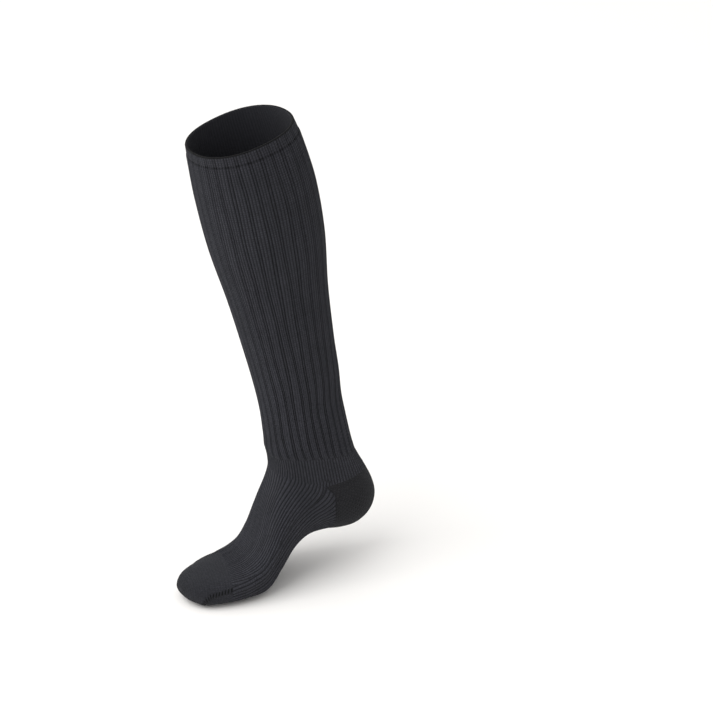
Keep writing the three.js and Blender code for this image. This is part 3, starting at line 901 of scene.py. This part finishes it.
# The seam's stitches take turns: painted shadow, then the inside's grey.
by_turns = np.repeat(np.arange(STITCHES) % 2, len(bead_faces)).astype(np.int32)
seam_mesh.polygons.foreach_set("material_index", by_turns)
print("faces inside:", int((face_material == INSIDE_SLOT).sum()),
      "on the edge:", int((face_material == SHADOW_SLOT).sum()))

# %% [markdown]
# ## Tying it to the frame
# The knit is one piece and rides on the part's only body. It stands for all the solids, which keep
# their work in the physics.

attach(stocking, "root")
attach(toe_seam, "root")
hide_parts("toe_pocket", "instep", "sole", "heel_pocket", "ankle",
            "leg_low", "leg_calf", "leg_upper", "cuff_welt")

# %% [markdown]
# ## Floor, camera and light
# The stocking stands on toes and ball on a plain pale floor. Soft light comes from all round,
# stronger from the left, with a large lamp high on the left of the camera. So the shadow falls to
# the right and stays faint, and the ribs show by their dark sides, which the lamp shades and painted
# shade in the colour darkens further.

# %% Floor
FLOOR_DROP, FLOOR_SIZE = 0.0004, 16     # clear of the sole, and wide; in metres
floor_z = -CUFF_HIGH * MM - FLOOR_DROP
bpy.ops.mesh.primitive_plane_add(size=FLOOR_SIZE, location=(0, 0, floor_z))
floor = bpy.context.object
floor.name = "floor"
floor_paint = bpy.data.materials.new("pale floor")
floor_paint.use_nodes = True
floor_shader = floor_paint.node_tree.nodes["Principled BSDF"]
floor_shader.inputs["Base Color"].default_value = (0.92, 0.905, 0.885, 1)
floor_shader.inputs["Roughness"].default_value = 0.9
floor_shader.inputs["Specular IOR Level"].default_value = 0.1
floor.data.materials.append(floor_paint)
print("floor at", round(floor_z, 4))

# %% Camera at the photograph's angle
CAMERA_AT = Vector((2.4924, -1.3194, 1.0371))
CAMERA_LOOK = Vector((-0.79115, 0.45677, -0.40674))
LENS = 171.67               # millimetres, on a sensor 36 wide


def place_facing(name, data, location, look):
    """A camera or a lamp, placed so that it looks along look."""
    placed = bpy.data.objects.new(name, data)
    placed.location = location
    placed.rotation_mode = "QUATERNION"
    placed.rotation_quaternion = look.to_track_quat("-Z", "Y")
    bpy.context.collection.objects.link(placed)
    return placed


camera_data = bpy.data.cameras.new("camera")
camera_data.lens = LENS
camera_data.sensor_width = 36
camera_data.clip_end = 60
bpy.context.scene.camera = place_facing("camera", camera_data, CAMERA_AT, CAMERA_LOOK)
print("camera", round(camera_data.lens), "mm")

# %% World
WORLD_STRENGTH, MORE_FROM_THE_LEFT = 0.88, 0.36
LEFT_OF_CAMERA = (-0.4, -0.9, 0.2)
world = bpy.data.worlds.new("studio")
world.use_nodes = True
air = world.node_tree
background = air.nodes["Background"]
background.inputs["Color"].default_value = (1.0, 1.0, 1.0, 1)
sky = add_node(air, "ShaderNodeTexCoord")
to_the_left = add_node(air, "ShaderNodeVectorMath", operation="DOT_PRODUCT")
air.links.new(sky.outputs["Generated"], to_the_left.inputs[0])
to_the_left.inputs[1].default_value = LEFT_OF_CAMERA
strength = math_node(air, "MULTIPLY_ADD", to_the_left.outputs["Value"], MORE_FROM_THE_LEFT,
                     WORLD_STRENGTH)
air.links.new(strength, background.inputs["Strength"])
bpy.context.scene.world = world
print("world:", world.name)

# %% One large lamp
LAMP_AT, LAMP_TARGET = Vector((0.4, -2.5, 2.3)), Vector((0, 0, -0.2))
LAMP_SIZE, LAMP_POWER = 3.4, 96
lamp_data = bpy.data.lights.new("key", "AREA")
lamp_data.size = LAMP_SIZE
lamp_data.energy = LAMP_POWER
place_facing("key", lamp_data, LAMP_AT, LAMP_TARGET - LAMP_AT)
bpy.context.scene.view_settings.view_transform = "Standard"
print("lamp", lamp_data.energy, "W")
